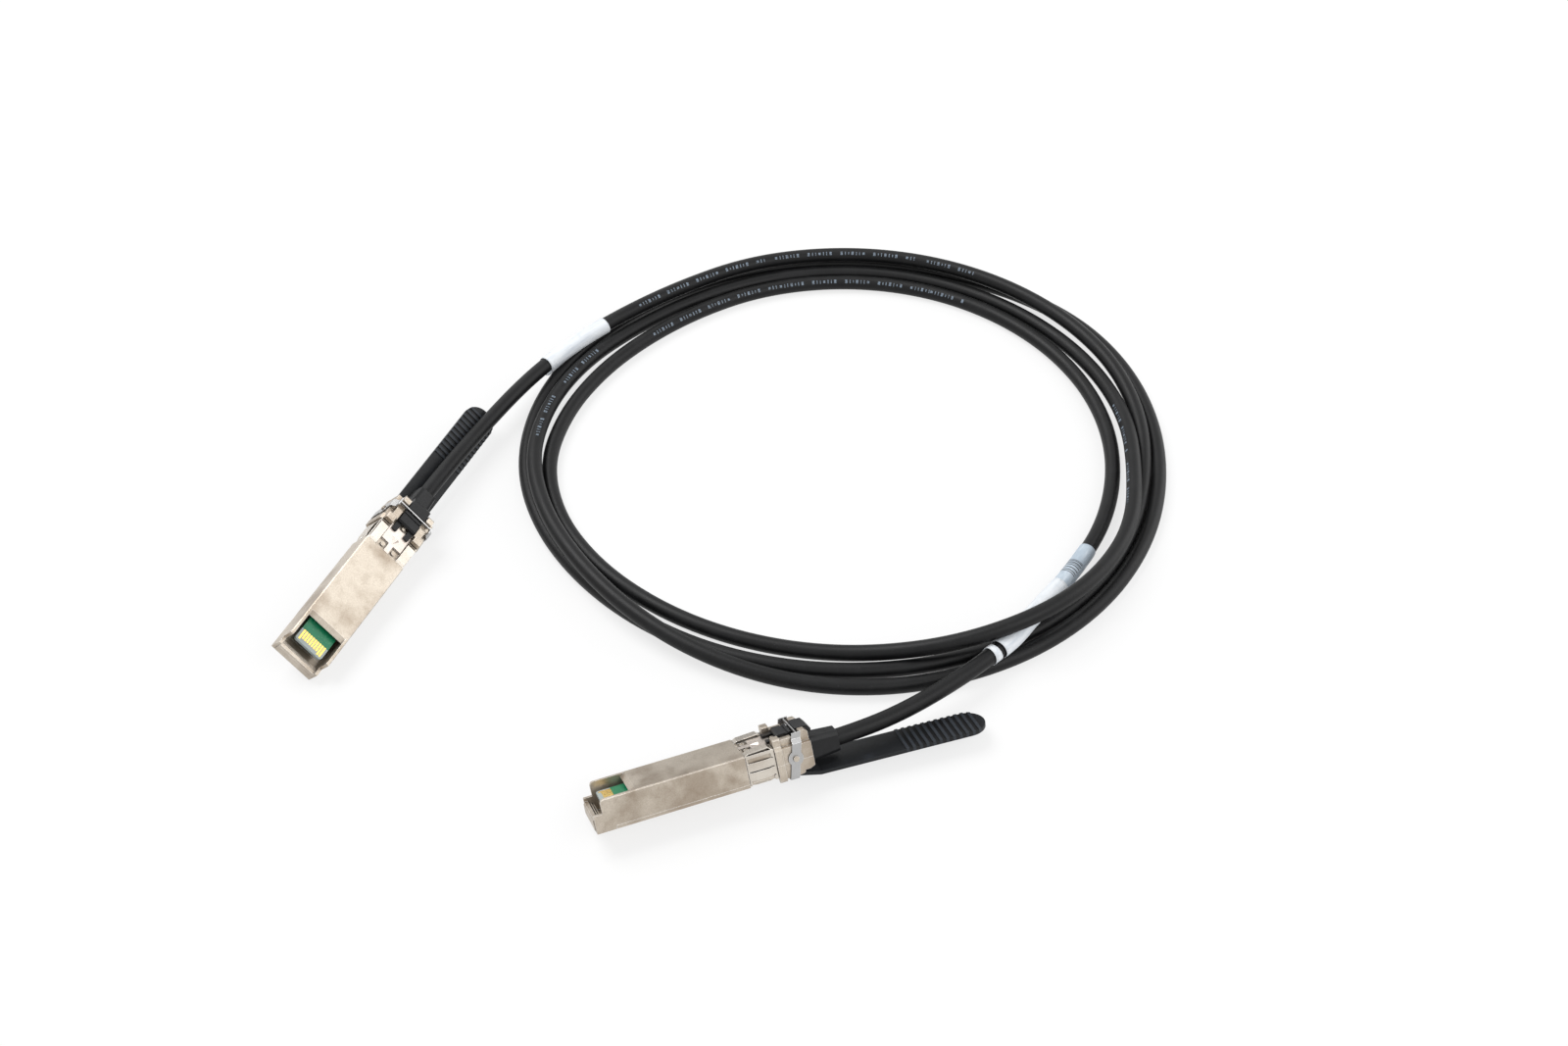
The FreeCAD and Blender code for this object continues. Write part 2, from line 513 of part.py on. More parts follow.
def strap(plug):
    """The flexible pull strap: an eye round the bail's strip, and a ribbed blade."""
    head_x = FOOT_X + STRAP_HEAD_L
    blade_x = head_x + STRAP_BEND_L
    blade_z = FOOT_Z - plug["strap_drop"]
    tip_x = STRAP_END_X - STRAP_W / 2
    top_z = blade_z + STRAP_T / 2
    half_t = STRAP_HEAD_T / 2
    head = band(FOOT_X, head_x, STRAP_W, FOOT_Z - half_t, FOOT_Z + half_t)
    nose = Part.makeCylinder(half_t, STRAP_W, V(FOOT_X, -STRAP_W / 2, FOOT_Z), ACROSS)
    room_x = CROSS_W / 2 + STRAP_EYE_GAP
    room_z = SHEET_T / 2 + STRAP_EYE_GAP
    slot = band(FOOT_X - room_x, FOOT_X + room_x, STRAP_W + OVER, FOOT_Z - room_z, FOOT_Z + room_z)
    root = section(head_x - STRAP_HEAD_L / 4, FOOT_Z)
    neck = section(head_x + STRAP_HEAD_L / 4, FOOT_Z)
    front = section(blade_x, blade_z)
    rear = section(STRAP_END_X, blade_z)
    ribs = []
    for i in range(RIB_COUNT):
        x = RIB_FRONT_X + i * RIB_PITCH
        ribs.append(band(x, x + RIB_W, STRAP_W, top_z - LAP, top_z + RIB_H))
    corners = band(tip_x, STRAP_END_X + OVER, STRAP_W + OVER, blade_z - STRAP_T, top_z + OVER)
    corners = corners.cut(Part.makeCylinder(STRAP_W / 2, 4 * OVER, V(tip_x, 0, blade_z - 2 * OVER), UP))
    for shape in [front, rear, corners] + ribs:
        shape.rotate(V(blade_x, 0, blade_z), ALONG, plug["strap_twist"])
        shape.rotate(V(blade_x, 0, blade_z), ACROSS, plug["strap_droop"])
        shape.rotate(V(blade_x, 0, blade_z), UP, plug["strap_yaw"])
    blade = Part.makeLoft([root, neck, front, rear], True, True)
    return joined([head, nose, blade] + ribs).cut(slot).cut(corners)


# ---- strain relief and inside ----------------------------------------------------
def boot_section(x, walls):
    """The strain relief's outline: a box round the cable with its corners cut off twice."""
    half_w = CABLE_D / 2 + walls[0]
    half_h = CABLE_D / 2 + walls[1]
    c, d = BOOT_CORNER, BOOT_CORNER * CORNER_SHARE
    corner = [(half_w, half_h - c), (half_w - d, half_h - d), (half_w - c, half_h)]
    ring = corner + [(-y, z) for y, z in reversed(corner)]
    ring += [(-y, -z) for y, z in ring]
    points = [V(x, y, CABLE_Z + z) for y, z in ring]
    return Part.makePolygon(points + points[:1])


def boot():
    """The moulded strain relief: a hexagonal neck in the castings, a tapered body behind them."""
    body = Part.makeLoft([boot_section(REAR_X + FIT, BOOT_WALL[0]),
                          boot_section(BOOT_END_X, BOOT_WALL[1])], True, True)
    neck = hex_rod(BOOT_X, REAR_X + OVER, CABLE_D + 2 * BOOT_NECK_WALL)
    return body.fuse(neck).cut(rod(BOOT_X - OVER, BOOT_END_X + OVER, CABLE_D / 2 + FIT))


def crimp_ring():
    """The ring pressed to a hexagon round the cable's end."""
    ring = hex_rod(CRIMP_X, CRIMP_X + CRIMP_L, CRIMP_W)
    return ring.cut(hex_rod(CRIMP_X - OVER, CRIMP_X + CRIMP_L + OVER, CRIMP_W - 2 * CRIMP_WALL))


def card():
    """The printed circuit card whose front edge carries the contacts."""
    half, corner = CARD_W / 2, CARD_CORNER
    edge = [(CARD_X, half - corner), (CARD_X + corner, half), (CARD_X + CARD_L, half)]
    outline = edge + [(x, -y) for x, y in reversed(edge)]
    return top_prism(outline, CARD_Z, CARD_Z + CARD_T)


def contacts():
    """Gold pads on both faces of the card; the ones that mate first are longer."""
    pads = []
    for i in range(PAD_COUNT):
        y = (i - (PAD_COUNT - 1) / 2) * PAD_PITCH
        x = PAD_LONG_X if i in LONG_PADS else PAD_SHORT_X
        for z in (CARD_Z - PAD_T, CARD_Z + CARD_T):
            pads.append(box(x, PAD_REAR_X, y - PAD_W / 2, y + PAD_W / 2, z, z + PAD_T))
    return Part.makeCompound(pads)


def memory_chip():
    """The small memory chip that tells the host what is plugged in."""
    length, width, height = CHIP_SIZE
    top = CARD_Z + CARD_T
    return band(CHIP_X, CHIP_X + length, width, top, top + height)


def hex_wire(x, z):
    """A shielded pair's outline, square to the plug."""
    corner = PAIR_W / math.sqrt(3)
    turns = [math.radians(60 * i) for i in range(6)]
    points = [V(x, PAIR_Y + corner * math.cos(t), z + corner * math.sin(t)) for t in turns]
    return Part.makePolygon(points + points[:1])


def inner_pairs():
    """The two shielded pairs, from the card down to the end of the cable's jacket."""
    card_end = CARD_X + CARD_L
    card_z = CARD_Z - PAIR_W / 2
    level = hex_rod(card_end - PAIR_OVERLAP, card_end, PAIR_W, PAIR_Y, card_z)
    rear = hex_rod(PAIR_LEVEL_X, BOOT_X, PAIR_W, PAIR_Y, CABLE_Z)
    slope = Part.makeLoft([hex_wire(card_end, card_z), hex_wire(PAIR_LEVEL_X, CABLE_Z)], True, True)
    return Part.makeCompound(both_sides(joined([level, slope, rear])))


# ---- cable -----------------------------------------------------------------------
def placement(plug, height=0.0):
    x, y = plug["nose"]
    turn = FreeCAD.Rotation(plug["yaw"], -plug["rise"], plug["roll"])
    return FreeCAD.Placement(V(x, y, height), turn)


def smooth_path(points, name):
    """Straight runs joined by tangent arcs, each as large as its two runs allow."""
    points = [V(*p) for p in points]
    edges = []
    start = points[0]
    radii = []
    for before, corner, after in zip(points, points[1:], points[2:]):
        back = before - corner
        ahead = after - corner
        reach = 0.45 * min(back.Length, ahead.Length)
        turn = math.pi - back.getAngle(ahead)
        radii.append(reach / math.tan(turn / 2))
        back.normalize()
        ahead.normalize()
        first = corner + back * reach
        last = corner + ahead * reach
        to_centre = back + ahead
        to_centre.normalize()
        centre = corner + to_centre * (radii[-1] / math.cos(turn / 2))
        edges.append(Part.LineSegment(start, first).toShape())
        edges.append(Part.Arc(first, centre - to_centre * radii[-1], last).toShape())
        start = last
    edges.append(Part.LineSegment(start, points[-1]).toShape())
    length = sum(edge.Length for edge in edges)
    print(f"{name}: length {length:.1f}, smallest radius {min(radii):.1f}")
    return edges


def tube(edges, name):
    """The cable's jacket along a path."""
    start = edges[0].Vertexes[0].Point
    direction = edges[0].tangentAt(edges[0].FirstParameter)
    circle = Part.Wire(Part.makeCircle(CABLE_D / 2, start, direction))
    solid = Part.Wire(edges).makePipeShell([circle], True, False)
    expected = math.pi * (CABLE_D / 2) ** 2 * sum(edge.Length for edge in edges)
    print(f"{name}: volume {solid.Volume:.1f}, section times length {expected:.1f}")
    return solid


def label(arc, length):
    """A label wrapped round the cable: a sleeve centred on one of the tail's gentle bends."""
    start, end = arc.valueAt(arc.FirstParameter), arc.valueAt(arc.LastParameter)
    middle = arc.valueAt((arc.FirstParameter + arc.LastParameter) / 2)
    along = (end - start).normalize()
    base = (start + end) * 0.25 + middle * 0.5 - along * (length / 2)
    sleeve = Part.makeCylinder(CABLE_D / 2 + LABEL_T, length, base, along)
    return sleeve.cut(Part.makeCylinder(CABLE_D / 2, length, base, along))


def coil():
    """The outer shape of the coiled cable: a flat ring, round outside and oval inside."""
    centre = V(*COIL_CENTRE, 0)
    outer = Part.makeCylinder(COIL_OUTER_R, COIL_H, centre + V(*COIL_OUTER_SHIFT, 0))
    oval = Part.Ellipse(centre + V(*COIL_INNER_SHIFT, 0), *COIL_INNER_R)
    inner = Part.Face(Part.Wire(oval.toShape())).extrude(V(0, 0, COIL_H))
    return outer.cut(inner)


# ---- the whole object ------------------------------------------------------------
def plug_pieces(plug):
    return {"housing": housing(), "lid": lid(), "spring_collar": collar(),
            "latch_plate": latch_plate(), "slider": slider(), "bail": bail(),
            "pull_strap": strap(plug), "boot": boot(), "crimp_ring": crimp_ring(),
            "card": card(), "contacts": contacts(), "memory_chip": memory_chip(),
            "inner_pairs": inner_pairs()}


def build():
    nodes = {}
    for letter, plug in PLUGS.items():
        pieces = plug_pieces(plug)
        lying = {name: shape.copy() for name, shape in pieces.items()}
        for shape in lying.values():
            shape.Placement = placement(plug)
        lowest = min(shape.optimalBoundingBox(False).ZMin for shape in lying.values())
        seat = placement(plug, -lowest)
        for name, shape in pieces.items():
            shape.Placement = seat
            nodes[f"{name}_{letter}"] = shape
        exit_x = EXIT_A_X if letter == "a" else EXIT_B_X
        ends = [seat.multVec(V(x, 0, CABLE_Z)) for x in (BOOT_X, exit_x)]
        print(f"plug {letter}: seat height {-lowest:.2f}, cable from {ends[0]} to {ends[1]}")
        route = ROUTE_A if letter == "a" else ROUTE_B
        path = smooth_path([tuple(p) for p in ends] + route, f"cable_tail_{letter}")
        nodes[f"cable_tail_{letter}"] = tube(path, f"cable_tail_{letter}")
        nodes[f"label_{letter}"] = label(path[LABEL_ARC[letter]], LABEL_L[letter])
    nodes["cable_coil"] = coil()
    return nodes


os.makedirs("parts", exist_ok=True)
for node, solid in build().items():
    solid.exportStep(f"parts/{node}.step")
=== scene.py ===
import json
import math

import bpy
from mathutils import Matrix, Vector


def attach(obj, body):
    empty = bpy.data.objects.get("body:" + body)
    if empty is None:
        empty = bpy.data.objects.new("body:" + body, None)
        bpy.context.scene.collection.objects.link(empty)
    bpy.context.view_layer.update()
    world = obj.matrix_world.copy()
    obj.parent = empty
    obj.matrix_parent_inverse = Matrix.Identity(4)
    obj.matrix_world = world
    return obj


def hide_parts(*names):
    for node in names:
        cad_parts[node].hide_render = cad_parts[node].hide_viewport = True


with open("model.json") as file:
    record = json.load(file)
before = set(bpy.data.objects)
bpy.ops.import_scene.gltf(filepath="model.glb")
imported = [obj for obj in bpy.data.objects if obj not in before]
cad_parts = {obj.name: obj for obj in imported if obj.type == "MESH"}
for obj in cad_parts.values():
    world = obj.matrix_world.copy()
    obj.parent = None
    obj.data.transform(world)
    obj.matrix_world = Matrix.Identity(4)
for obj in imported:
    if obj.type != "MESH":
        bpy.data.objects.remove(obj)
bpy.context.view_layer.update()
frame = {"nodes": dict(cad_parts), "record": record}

MM = 0.001

# ---- camera ----------------------------------------------------------------------
TARGET = Vector((0.0416, 0.0364, 0.0))
CAMERA_DISTANCE = 0.5654
CAMERA_ELEVATION = math.radians(46.0)
LENS = 45.34
SENSOR = 36.0


def make_camera():
    data = bpy.data.cameras.new("camera")
    data.lens = LENS
    data.sensor_width = SENSOR
    data.clip_start = 0.01
    camera = bpy.data.objects.new("camera", data)
    bpy.context.scene.collection.objects.link(camera)
    away = Vector((0, -math.cos(CAMERA_ELEVATION), math.sin(CAMERA_ELEVATION)))
    camera.location = TARGET + away * CAMERA_DISTANCE
    camera.rotation_euler = (-away).to_track_quat("-Z", "Y").to_euler()
    bpy.context.scene.camera = camera


make_camera()

# ---- the cable -------------------------------------------------------------------
# millimetres, except where metres are named
CABLE_D = 4.5
START_A = (-65.0, 28.78, 8.33)      # where the cable leaves each strain relief
START_B = (44.45, -50.73, 7.56)
# the uncoiled stretches, from plug a to the coil and from the coil to plug b
ROUTE_A = [(-57.35, 45.96, 8.73), (-48.4, 66.4, 7.5), (-35.6, 90.8, 6.9), (-22.7, 107.6, 6.7),
           (-8.2, 121.6, 6.6), (8.6, 134.3, 6.6)]
ROUTE_B = [(110.9, -1.61, 6.25), (107.13, -6.86, 6.93), (103.37, -11.99, 6.64),
           (98.68, -16.82, 6.7), (87.6, -27.0, 7.2), (73.1, -37.6, 7.2),
           (58.82, -45.47, 7.77)]
COIL_CENTRE = (58.2, 65.3)
# where each turn lies: degrees clockwise from the far side, radius, height of the centre line
STATIONS = [
    (-20, 85.0, 6.6), (0, 85.4, 6.6), (30, 87.3, 6.6), (60, 89.2, 6.5), (77, 89.7, 6.2),
    (86, 89.5, 4.7), (96, 88.8, 2.5), (135, 88.5, 2.25), (180, 85.5, 2.25),
    (225, 87.9, 2.25), (264, 92.6, 2.25), (285, 91.8, 2.25), (308, 89.4, 2.25),
    (330, 87.2, 2.25), (360, 86.4, 2.25), (385, 88.3, 2.25), (405, 92.6, 2.25),
    (420, 94.6, 2.25), (435, 94.2, 2.25), (456, 93.3, 2.25), (495, 93.1, 2.25),
    (540, 91.3, 2.25), (558, 90.7, 4.2), (570, 89.9, 5.6), (585, 88.8, 6.7),
    (603, 88.6, 6.75), (621, 90.3, 6.5), (650, 86.6, 4.0), (672, 82.6, 2.25),
    (690, 81.0, 2.25), (720, 81.6, 2.25), (750, 83.2, 2.25), (780, 84.2, 3.4),
    (795, 84.6, 5.0), (805, 85.09, 5.71), (820, 85.17, 7.64), (835, 88.8, 8.48),
    (850, 90.09, 10.12), (865, 90.24, 12.36), (880, 86.61, 9.26), (895, 81.05, 3.97),
    (910, 79.2, 2.25), (936, 80.6, 2.25), (957, 83.5, 2.25), (983, 86.2, 2.25),
    (1012, 80.1, 2.25), (1037, 75.9, 2.25), (1057, 76.1, 2.25), (1080, 76.7, 2.25),
    (1120, 78.6, 2.25), (1165, 79.8, 2.75), (1180, 80.0, 2.84), (1195, 80.36, 2.85),
    (1210, 80.74, 3.25), (1212, 80.74, 3.25),
]
TURN_STEP = 15.0         # degrees between the coil's control points
CABLE_STEPS = 8          # steps of the curve between two control points
CABLE_FACETS = 6         # Blender's bevel resolution round the cable


def between(angle):
    """Radius and height of the coil at an angle, on smooth curves through the stations."""
    table = STATIONS
    i = max(k for k in range(len(table) - 1) if table[k][0] <= angle)
    width = table[i + 1][0] - table[i][0]
    t = (angle - table[i][0]) / width
    found = []
    for c in (1, 2):
        slope = []
        for k in (i, i + 1):
            lo, hi = max(k - 1, 0), min(k + 1, len(table) - 1)
            slope.append((table[hi][c] - table[lo][c]) / (table[hi][0] - table[lo][0]))
        p, q = table[i][c], table[i + 1][c]
        found.append((2 * t**3 - 3 * t**2 + 1) * p + (t**3 - 2 * t**2 + t) * width * slope[0]
                     + (3 * t**2 - 2 * t**3) * q + (t**3 - t**2) * width * slope[1])
    return found


def coil_points():
    """Control points a little outside the turns, since the spline cuts inside its corners."""
    outside = 1 / math.cos(math.radians(TURN_STEP / 2))
    points = []
    angle = STATIONS[0][0]
    while angle <= STATIONS[-1][0]:
        radius, height = between(angle)
        a = math.radians(90 - angle)
        points.append((COIL_CENTRE[0] + radius * outside * math.cos(a),
                       COIL_CENTRE[1] + radius * outside * math.sin(a), max(height, CABLE_D / 2)))
        angle += TURN_STEP
    return points


def make_cable():
    data = bpy.data.curves.new("cable", "CURVE")
    data.dimensions = "3D"
    points = [START_A] + ROUTE_A + coil_points() + ROUTE_B + [START_B]
    spline = data.splines.new("NURBS")
    spline.points.add(len(points) - 1)
    for point, place in zip(spline.points, points):
        point.co = (*(c * MM for c in place), 1)
    spline.order_u = 3
    spline.use_endpoint_u = True
    spline.resolution_u = CABLE_STEPS
    data.bevel_depth = CABLE_D / 2 * MM
    data.bevel_resolution = CABLE_FACETS
    cable = bpy.data.objects.new("cable", data)
    bpy.context.scene.collection.objects.link(cable)
    return cable


cable = make_cable()

# ---- materials -------------------------------------------------------------------
PER_MM = 1000.0          # texture scales are written as features per millimetre
# each plug's nose and the direction to its rear
PLUG_A = ((-89.2 * MM, -19.7 * MM, 4.782 * MM), (0.40665, 0.91335, 0.02094))
PLUG_B = ((-5.8 * MM, -71.0 * MM, 3.8947 * MM), (0.939, 0.34363, 0.01396))
PAD_REAR_X = 6.85        # how far behind the nose the contacts end
RIB_PITCH = 1.8          # spacing of the straps' ribs
RIB_RUN = 20.7           # and the stretch that they cover
RIB_EDGE = 0.1           # over which the ribs' shading fades in
RIB_TAIL = 1.0           # and out beyond the last rib
BAR_ALONG = (0.38, 0.72)         # where the film's bars lie, as shares of its length
BAR_ROUND = (0.26, 0.56)         # and of its way round
BAR_WAVES = (190.0, 107.0)       # two waves whose sum sets the bars' widths
FILM_SCALE = 0.0006      # the film's streaks are measured on its UV map
BEVEL_SAMPLES = 4
CORNER_SHADE_SAMPLES = 6
EDGE_TURNED = (0.995, 0.9)       # agreement of rounded and flat normal, off and on an edge
# colours of the painted shade in corners and recesses
METAL_CORNER_SHADE = (0.055, 0.042, 0.032)
PLASTIC_CORNER_SHADE = (0.002, 0.002, 0.002)
# painted shade in the grooves of the straps' ribs
GROOVE_SHADE = (0.0015, 0.0015, 0.002)
BAR_INK = (0.03, 0.033, 0.04)


class Nodes:
    """One material's node tree, written as short calls that return sockets."""

    def __init__(self, name, metallic=0.0, specular=0.5):
        self.material = bpy.data.materials.new(name)
        self.material.use_nodes = True
        self.tree = self.material.node_tree
        self.shader = self.tree.nodes["Principled BSDF"]
        self.shader.inputs["Metallic"].default_value = metallic
        self.shader.inputs["Specular IOR Level"].default_value = specular
        self.place = self.add("ShaderNodeTexCoord").outputs["Object"]

    def add(self, kind, **settings):
        node = self.tree.nodes.new(kind)
        for name, value in settings.items():
            setattr(node, name, value)
        return node

    def put(self, value, socket):
        if isinstance(value, bpy.types.NodeSocket):
            self.tree.links.new(value, socket)
        elif socket.type == "RGBA":
            socket.default_value = (*value, 1)
        else:
            socket.default_value = value

    def math(self, operation, a, b=0.0):
        node = self.add("ShaderNodeMath", operation=operation)
        self.put(a, node.inputs[0])
        self.put(b, node.inputs[1])
        return node.outputs[0]

    def vector(self, operation, a, b):
        node = self.add("ShaderNodeVectorMath", operation=operation)
        self.put(a, node.inputs[0])
        self.put(b, node.inputs[1])
        return node.outputs["Value" if operation == "DOT_PRODUCT" else "Vector"]

    def noise(self, per_mm, detail=3.0, roughness=0.55, place=None):
        node = self.add("ShaderNodeTexNoise")
        self.put(place or self.place, node.inputs["Vector"])
        node.inputs["Scale"].default_value = per_mm * PER_MM
        node.inputs["Detail"].default_value = detail
        node.inputs["Roughness"].default_value = roughness
        return node.outputs["Fac"]

    def cells(self, per_mm, feature="F1", randomness=1.0, place=None):
        node = self.add("ShaderNodeTexVoronoi", feature=feature)
        self.put(place or self.place, node.inputs["Vector"])
        node.inputs["Scale"].default_value = per_mm * PER_MM
        node.inputs["Randomness"].default_value = randomness
        return node.outputs["Distance"]

    def step(self, value, low, high, a=0.0, b=1.0):
        """A smooth change from a at low to b at high."""
        node = self.add("ShaderNodeMapRange", interpolation_type="SMOOTHSTEP")
        for socket, number in zip(node.inputs, (value, low, high, a, b)):
            self.put(number, socket)
        return node.outputs["Result"]

    def mix(self, share, a, b):
        node = self.add("ShaderNodeMix", data_type="RGBA")
        self.put(share, node.inputs[0])
        self.put(a, node.inputs[6])
        self.put(b, node.inputs[7])
        return node.outputs[2]

    def rounded(self, radius):
        """The surface's direction with its edges rounded, and how near an edge is, 0 to 1."""
        bevel = self.add("ShaderNodeBevel", samples=BEVEL_SAMPLES)
        bevel.inputs["Radius"].default_value = radius * MM
        facing = self.add("ShaderNodeNewGeometry").outputs["Normal"]
        near = self.vector("DOT_PRODUCT", bevel.outputs["Normal"], facing)
        return bevel.outputs["Normal"], self.step(near, *EDGE_TURNED)

    def seen(self):
        """1 where a surface is seen, directly or in a gloss or glass, else 0."""
        rays = self.add("ShaderNodeLightPath")
        seen = self.math("MAXIMUM", rays.outputs["Is Camera Ray"], rays.outputs["Is Glossy Ray"])
        return self.math("MAXIMUM", seen, rays.outputs["Is Transmission Ray"])

    def corner_shade(self, reach, low=0.3, high=0.8):
        """Mask for painted shade: 1 deep in corners and grooves, 0 where the surface is open."""
        node = self.add("ShaderNodeAmbientOcclusion", samples=CORNER_SHADE_SAMPLES)
        node.inputs["Distance"].default_value = reach * MM
        return self.step(node.outputs["AO"], high, low)

    def bump(self, height, depth, normal=None):
        node = self.add("ShaderNodeBump")
        node.inputs["Distance"].default_value = depth * MM
        self.put(height, node.inputs["Height"])
        if normal is not None:
            self.put(normal, node.inputs["Normal"])
        return node.outputs["Normal"]

    def finish(self, colour, roughness, normal):
        self.put(colour, self.shader.inputs["Base Color"])
        self.put(roughness, self.shader.inputs["Roughness"])
        self.put(normal, self.shader.inputs["Normal"])
        return self.material


def metal(name, light, dark, stain, shine, edge, grain=0.010, speckle=0.4, brushed=None):
    """Plated or bare metal: cloudy stains, fine speckle, painted shade in corners, and edges
    lightened as partly rubbed metal and partly painted highlight.
    """
    n = Nodes(name, metallic=0.85)
    cloud = n.step(n.noise(0.085, 3.0, 0.5), 0.42, 0.66)
    patch = n.step(n.noise(0.33, 4.0, 0.6), 0.45, 0.75)
    place = None if brushed is None else n.vector("MULTIPLY", n.place, brushed)
    dots = n.noise(3.6, 5.0, 0.75, place)
    soil = n.math("ADD", n.math("MULTIPLY", cloud, 0.75 * stain),
                  n.math("MULTIPLY", patch, 0.3 * stain))
    colour = n.mix(soil, light, dark)
    colour = n.mix(n.step(dots, 0.38, 0.66, 0.0, speckle), colour, dark)
    # painted shade: corners and recesses darkened towards a dark brown
    colour = n.mix(n.math("MULTIPLY", n.corner_shade(0.9), 0.8), colour, METAL_CORNER_SHADE)
    normal, near_edge = n.rounded(0.12)
    # edges lightened towards the edge colour: partly rubbed metal, partly painted highlight
    colour = n.mix(n.math("MULTIPLY", near_edge, n.step(patch, 1.0, 0.1, 0.45, 1.0)), colour, edge)
    roughness = n.math("ADD", n.math("MULTIPLY", dots, 0.24), shine)
    return n.finish(colour, roughness, n.bump(dots, grain, normal))


def plastic(name, colour, wear_and_highlight, gloss, grain=0.02, per_mm=2.2, radius=0.15, ribs=None):
    """Moulded plastic or rubber: eroded grain, faint dust, scuffed edges, painted shade in corners,
    and on ribbed straps painted shade in the grooves and a painted highlight on the rib tops.
    """
    n = Nodes(name, specular=0.3)
    texture = n.noise(per_mm, 3.0, 0.6)
    dust = n.step(n.noise(0.3, 4.0, 0.6), 0.5, 0.8, 0.0, 0.3)
    scuff = n.step(n.noise(1.1, 3.0, 0.7), 0.4, 0.65, 0.3, 1.0)
    normal, near_edge = n.rounded(radius)
    shade = n.mix(dust, colour, wear_and_highlight)
    shade = n.mix(n.math("MULTIPLY", near_edge, n.math("MULTIPLY", scuff, 0.7)), shade, wear_and_highlight)
    if ribs:
        origin, along = ribs
        x = n.vector("DOT_PRODUCT", n.vector("SUBTRACT", n.place, origin), along)
        share = n.math("FRACT", n.math("DIVIDE", x, RIB_PITCH * MM))
        top = n.math("MULTIPLY", n.step(share, 0.0, 0.06), n.step(share, 0.5, 0.44))
        start = (-RIB_EDGE * MM, 0.0)
        for low, high in (start, ((RIB_RUN + RIB_EDGE) * MM, RIB_RUN * MM)):
            top = n.math("MULTIPLY", top, n.step(x, low, high))
        # painted shade: the ribbed stretch darkened nearly to black, as in the grooves
        groove_shade = n.math("MULTIPLY", n.step(x, *start),
                        n.step(x, (RIB_RUN + RIB_TAIL) * MM, RIB_RUN * MM))
        shade = n.mix(n.math("MULTIPLY", groove_shade, 0.75), shade, GROOVE_SHADE)
        # painted highlight: the rib tops lightened
        shade = n.mix(n.math("MULTIPLY", top, n.step(texture, 0.2, 0.8, 0.5, 1.0)), shade, wear_and_highlight)
    # painted shade: corners darkened nearly to black
    shade = n.mix(n.math("MULTIPLY", n.corner_shade(0.8), 0.7), shade, PLASTIC_CORNER_SHADE)
    roughness = n.math("ADD", n.math("MULTIPLY", texture, 0.25), gloss)
    return n.finish(shade, roughness, n.bump(texture, grain, normal))


def laminate(name, plug):
    """The card: bare grey laminate at its front edge, then green solder mask with small vias."""
    n = Nodes(name)
    origin, along = plug
    x = n.vector("DOT_PRODUCT", n.vector("SUBTRACT", n.place, origin), along)
    masked = n.step(x, (PAD_REAR_X - 0.15) * MM, (PAD_REAR_X + 0.05) * MM)
    weave = n.noise(4.0, 2.0)
    bare = n.mix(weave, (0.30, 0.35, 0.345), (0.44, 0.50, 0.50))
    green = n.mix(n.noise(0.5, 4.0), (0.001, 0.13, 0.055), (0.006, 0.26, 0.115))
    via = n.cells(1.25, randomness=0.85)
    green = n.mix(n.step(via, 0.3, 0.22, 0.0, 0.5), green, (0.10, 0.36, 0.17))
    green = n.mix(n.step(via, 0.17, 0.12), green, (0.002, 0.03, 0.016))
    normal, near_edge = n.rounded(0.08)
    colour = n.mix(masked, bare, green)
    colour = n.mix(n.math("MULTIPLY", near_edge, 0.6), colour, (0.45, 0.5, 0.42))
    return n.finish(colour, n.step(weave, 0.3, 0.7, 0.3, 0.45), n.bump(weave, 0.01, normal))


def gold():
    n = Nodes("gold", metallic=1.0)
    scratch = n.noise(3.5, 3.0, 0.7)
    colour = n.mix(n.noise(0.8, 3.0), (0.86, 0.54, 0.10), (0.98, 0.72, 0.20))
    normal, near_edge = n.rounded(0.05)
    # painted highlight: brighter gold along the edges
    colour = n.mix(n.math("MULTIPLY", near_edge, 0.5), colour, (1.0, 0.82, 0.36))
    return n.finish(colour, n.step(scratch, 0.3, 0.7, 0.22, 0.4), n.bump(scratch, 0.006, normal))


def jacket():
    """The cable's extruded jacket: matte black with a faint bloom and fine scuffs."""
    n = Nodes("jacket", specular=0.24)
    bloom = n.step(n.noise(0.11, 4.0, 0.6), 0.45, 0.75)
    scuff = n.step(n.noise(1.6, 4.0, 0.75), 0.6, 0.72)
    skin = n.noise(3.2, 2.0, 0.6)
    colour = n.mix(bloom, (0.0035, 0.0036, 0.004), (0.008, 0.0083, 0.009))
    colour = n.mix(n.math("MULTIPLY", scuff, 0.5), colour, (0.035, 0.035, 0.038))
    roughness = n.math("ADD", n.math("MULTIPLY", bloom, 0.1), n.math("MULTIPLY", skin, 0.2))
    n.shader.inputs["Sheen Weight"].default_value = 0.03
    n.shader.inputs["Sheen Roughness"].default_value = 0.4
    return n.finish(colour, n.math("ADD", roughness, 0.33), n.bump(skin, 0.012))


